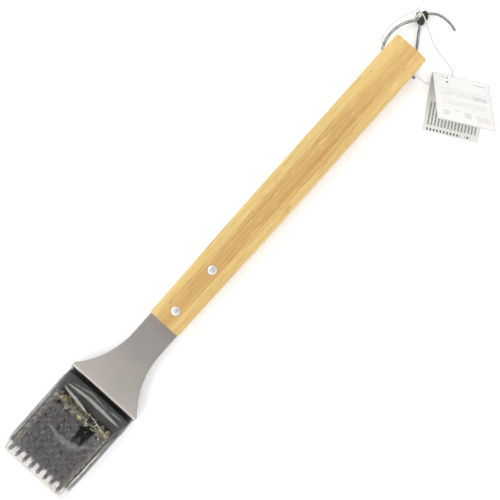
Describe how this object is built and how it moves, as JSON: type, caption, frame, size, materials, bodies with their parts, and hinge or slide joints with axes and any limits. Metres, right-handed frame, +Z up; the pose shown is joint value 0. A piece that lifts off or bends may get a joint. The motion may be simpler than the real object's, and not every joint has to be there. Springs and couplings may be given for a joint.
{
  "type": "grill cleaning brush",
  "caption": "Long-handled grill cleaning brush with a stepped steel neck, scraper lip, wire bristle block, clear bristle cover, lace hang loop and swing tag.",
  "frame": {"origin": "middle of the brush's length and width, on the surface it lies on, measured without lace, string and tag", "axes": "+X along the handle away from the head, +Z up out of the bristle side, +Y to the left when looking along +X"},
  "size_m": [0.4973, 0.1246, 0.0344],
  "materials": {
    "wood": "satin, lightly oiled",
    "steel": "fine brushed",
    "aluminium": "satin",
    "block_plastic": "matte black",
    "brass": "crimped wire, dull",
    "clear_film": "clear, glossy, creased",
    "lace_leather": "smooth, slightly glossy",
    "string_thread": "twisted thread",
    "tag_card": "coated card"
  },
  "bodies": {
    "brush": {"handle": "wood", "head_plate": "steel", "handle_rivet_front": "aluminium", "handle_rivet_rear": "aluminium", "brush_block": "block_plastic", "block_rivet_front": "aluminium", "block_rivet_rear": "aluminium", "bristle_row_1": "brass", "bristle_row_2": "brass", "bristle_row_3": "brass", "bristle_row_4": "brass", "bristle_row_5": "brass", "bristle_row_6": "brass", "bristle_row_7": "brass", "bristle_row_8": "brass", "bristle_row_9": "brass"},
    "hang_loop": {"lace_left": "lace_leather", "lace_right": "lace_leather", "lace_tail": "lace_leather", "lace_knot": "lace_leather", "string_left": "string_thread", "string_right": "string_thread", "tag_back": "tag_card"},
    "tag_leaf": {"tag_front": "tag_card"},
    "cover": {"clear_cover": "clear_film"}
  },
  "joints": [
    {"name": "loop_swing", "type": "hinge", "parent": "brush", "child": "hang_loop", "pos_m": [0.21325, 0, 0.0126], "axis": [0, 1, 0], "range_deg": [0, 45]},
    {"name": "tag_open", "type": "hinge", "parent": "hang_loop", "child": "tag_leaf", "pos_m": [0.23, -0.0252, 0.0018], "axis": [-0.4789, 0.8779, 0], "range_deg": [-10, 110]},
    {"name": "cover_lift", "type": "slide", "parent": "brush", "child": "cover", "axis": [0, 0, 1], "range_m": [0, 0.05]}
  ]
}
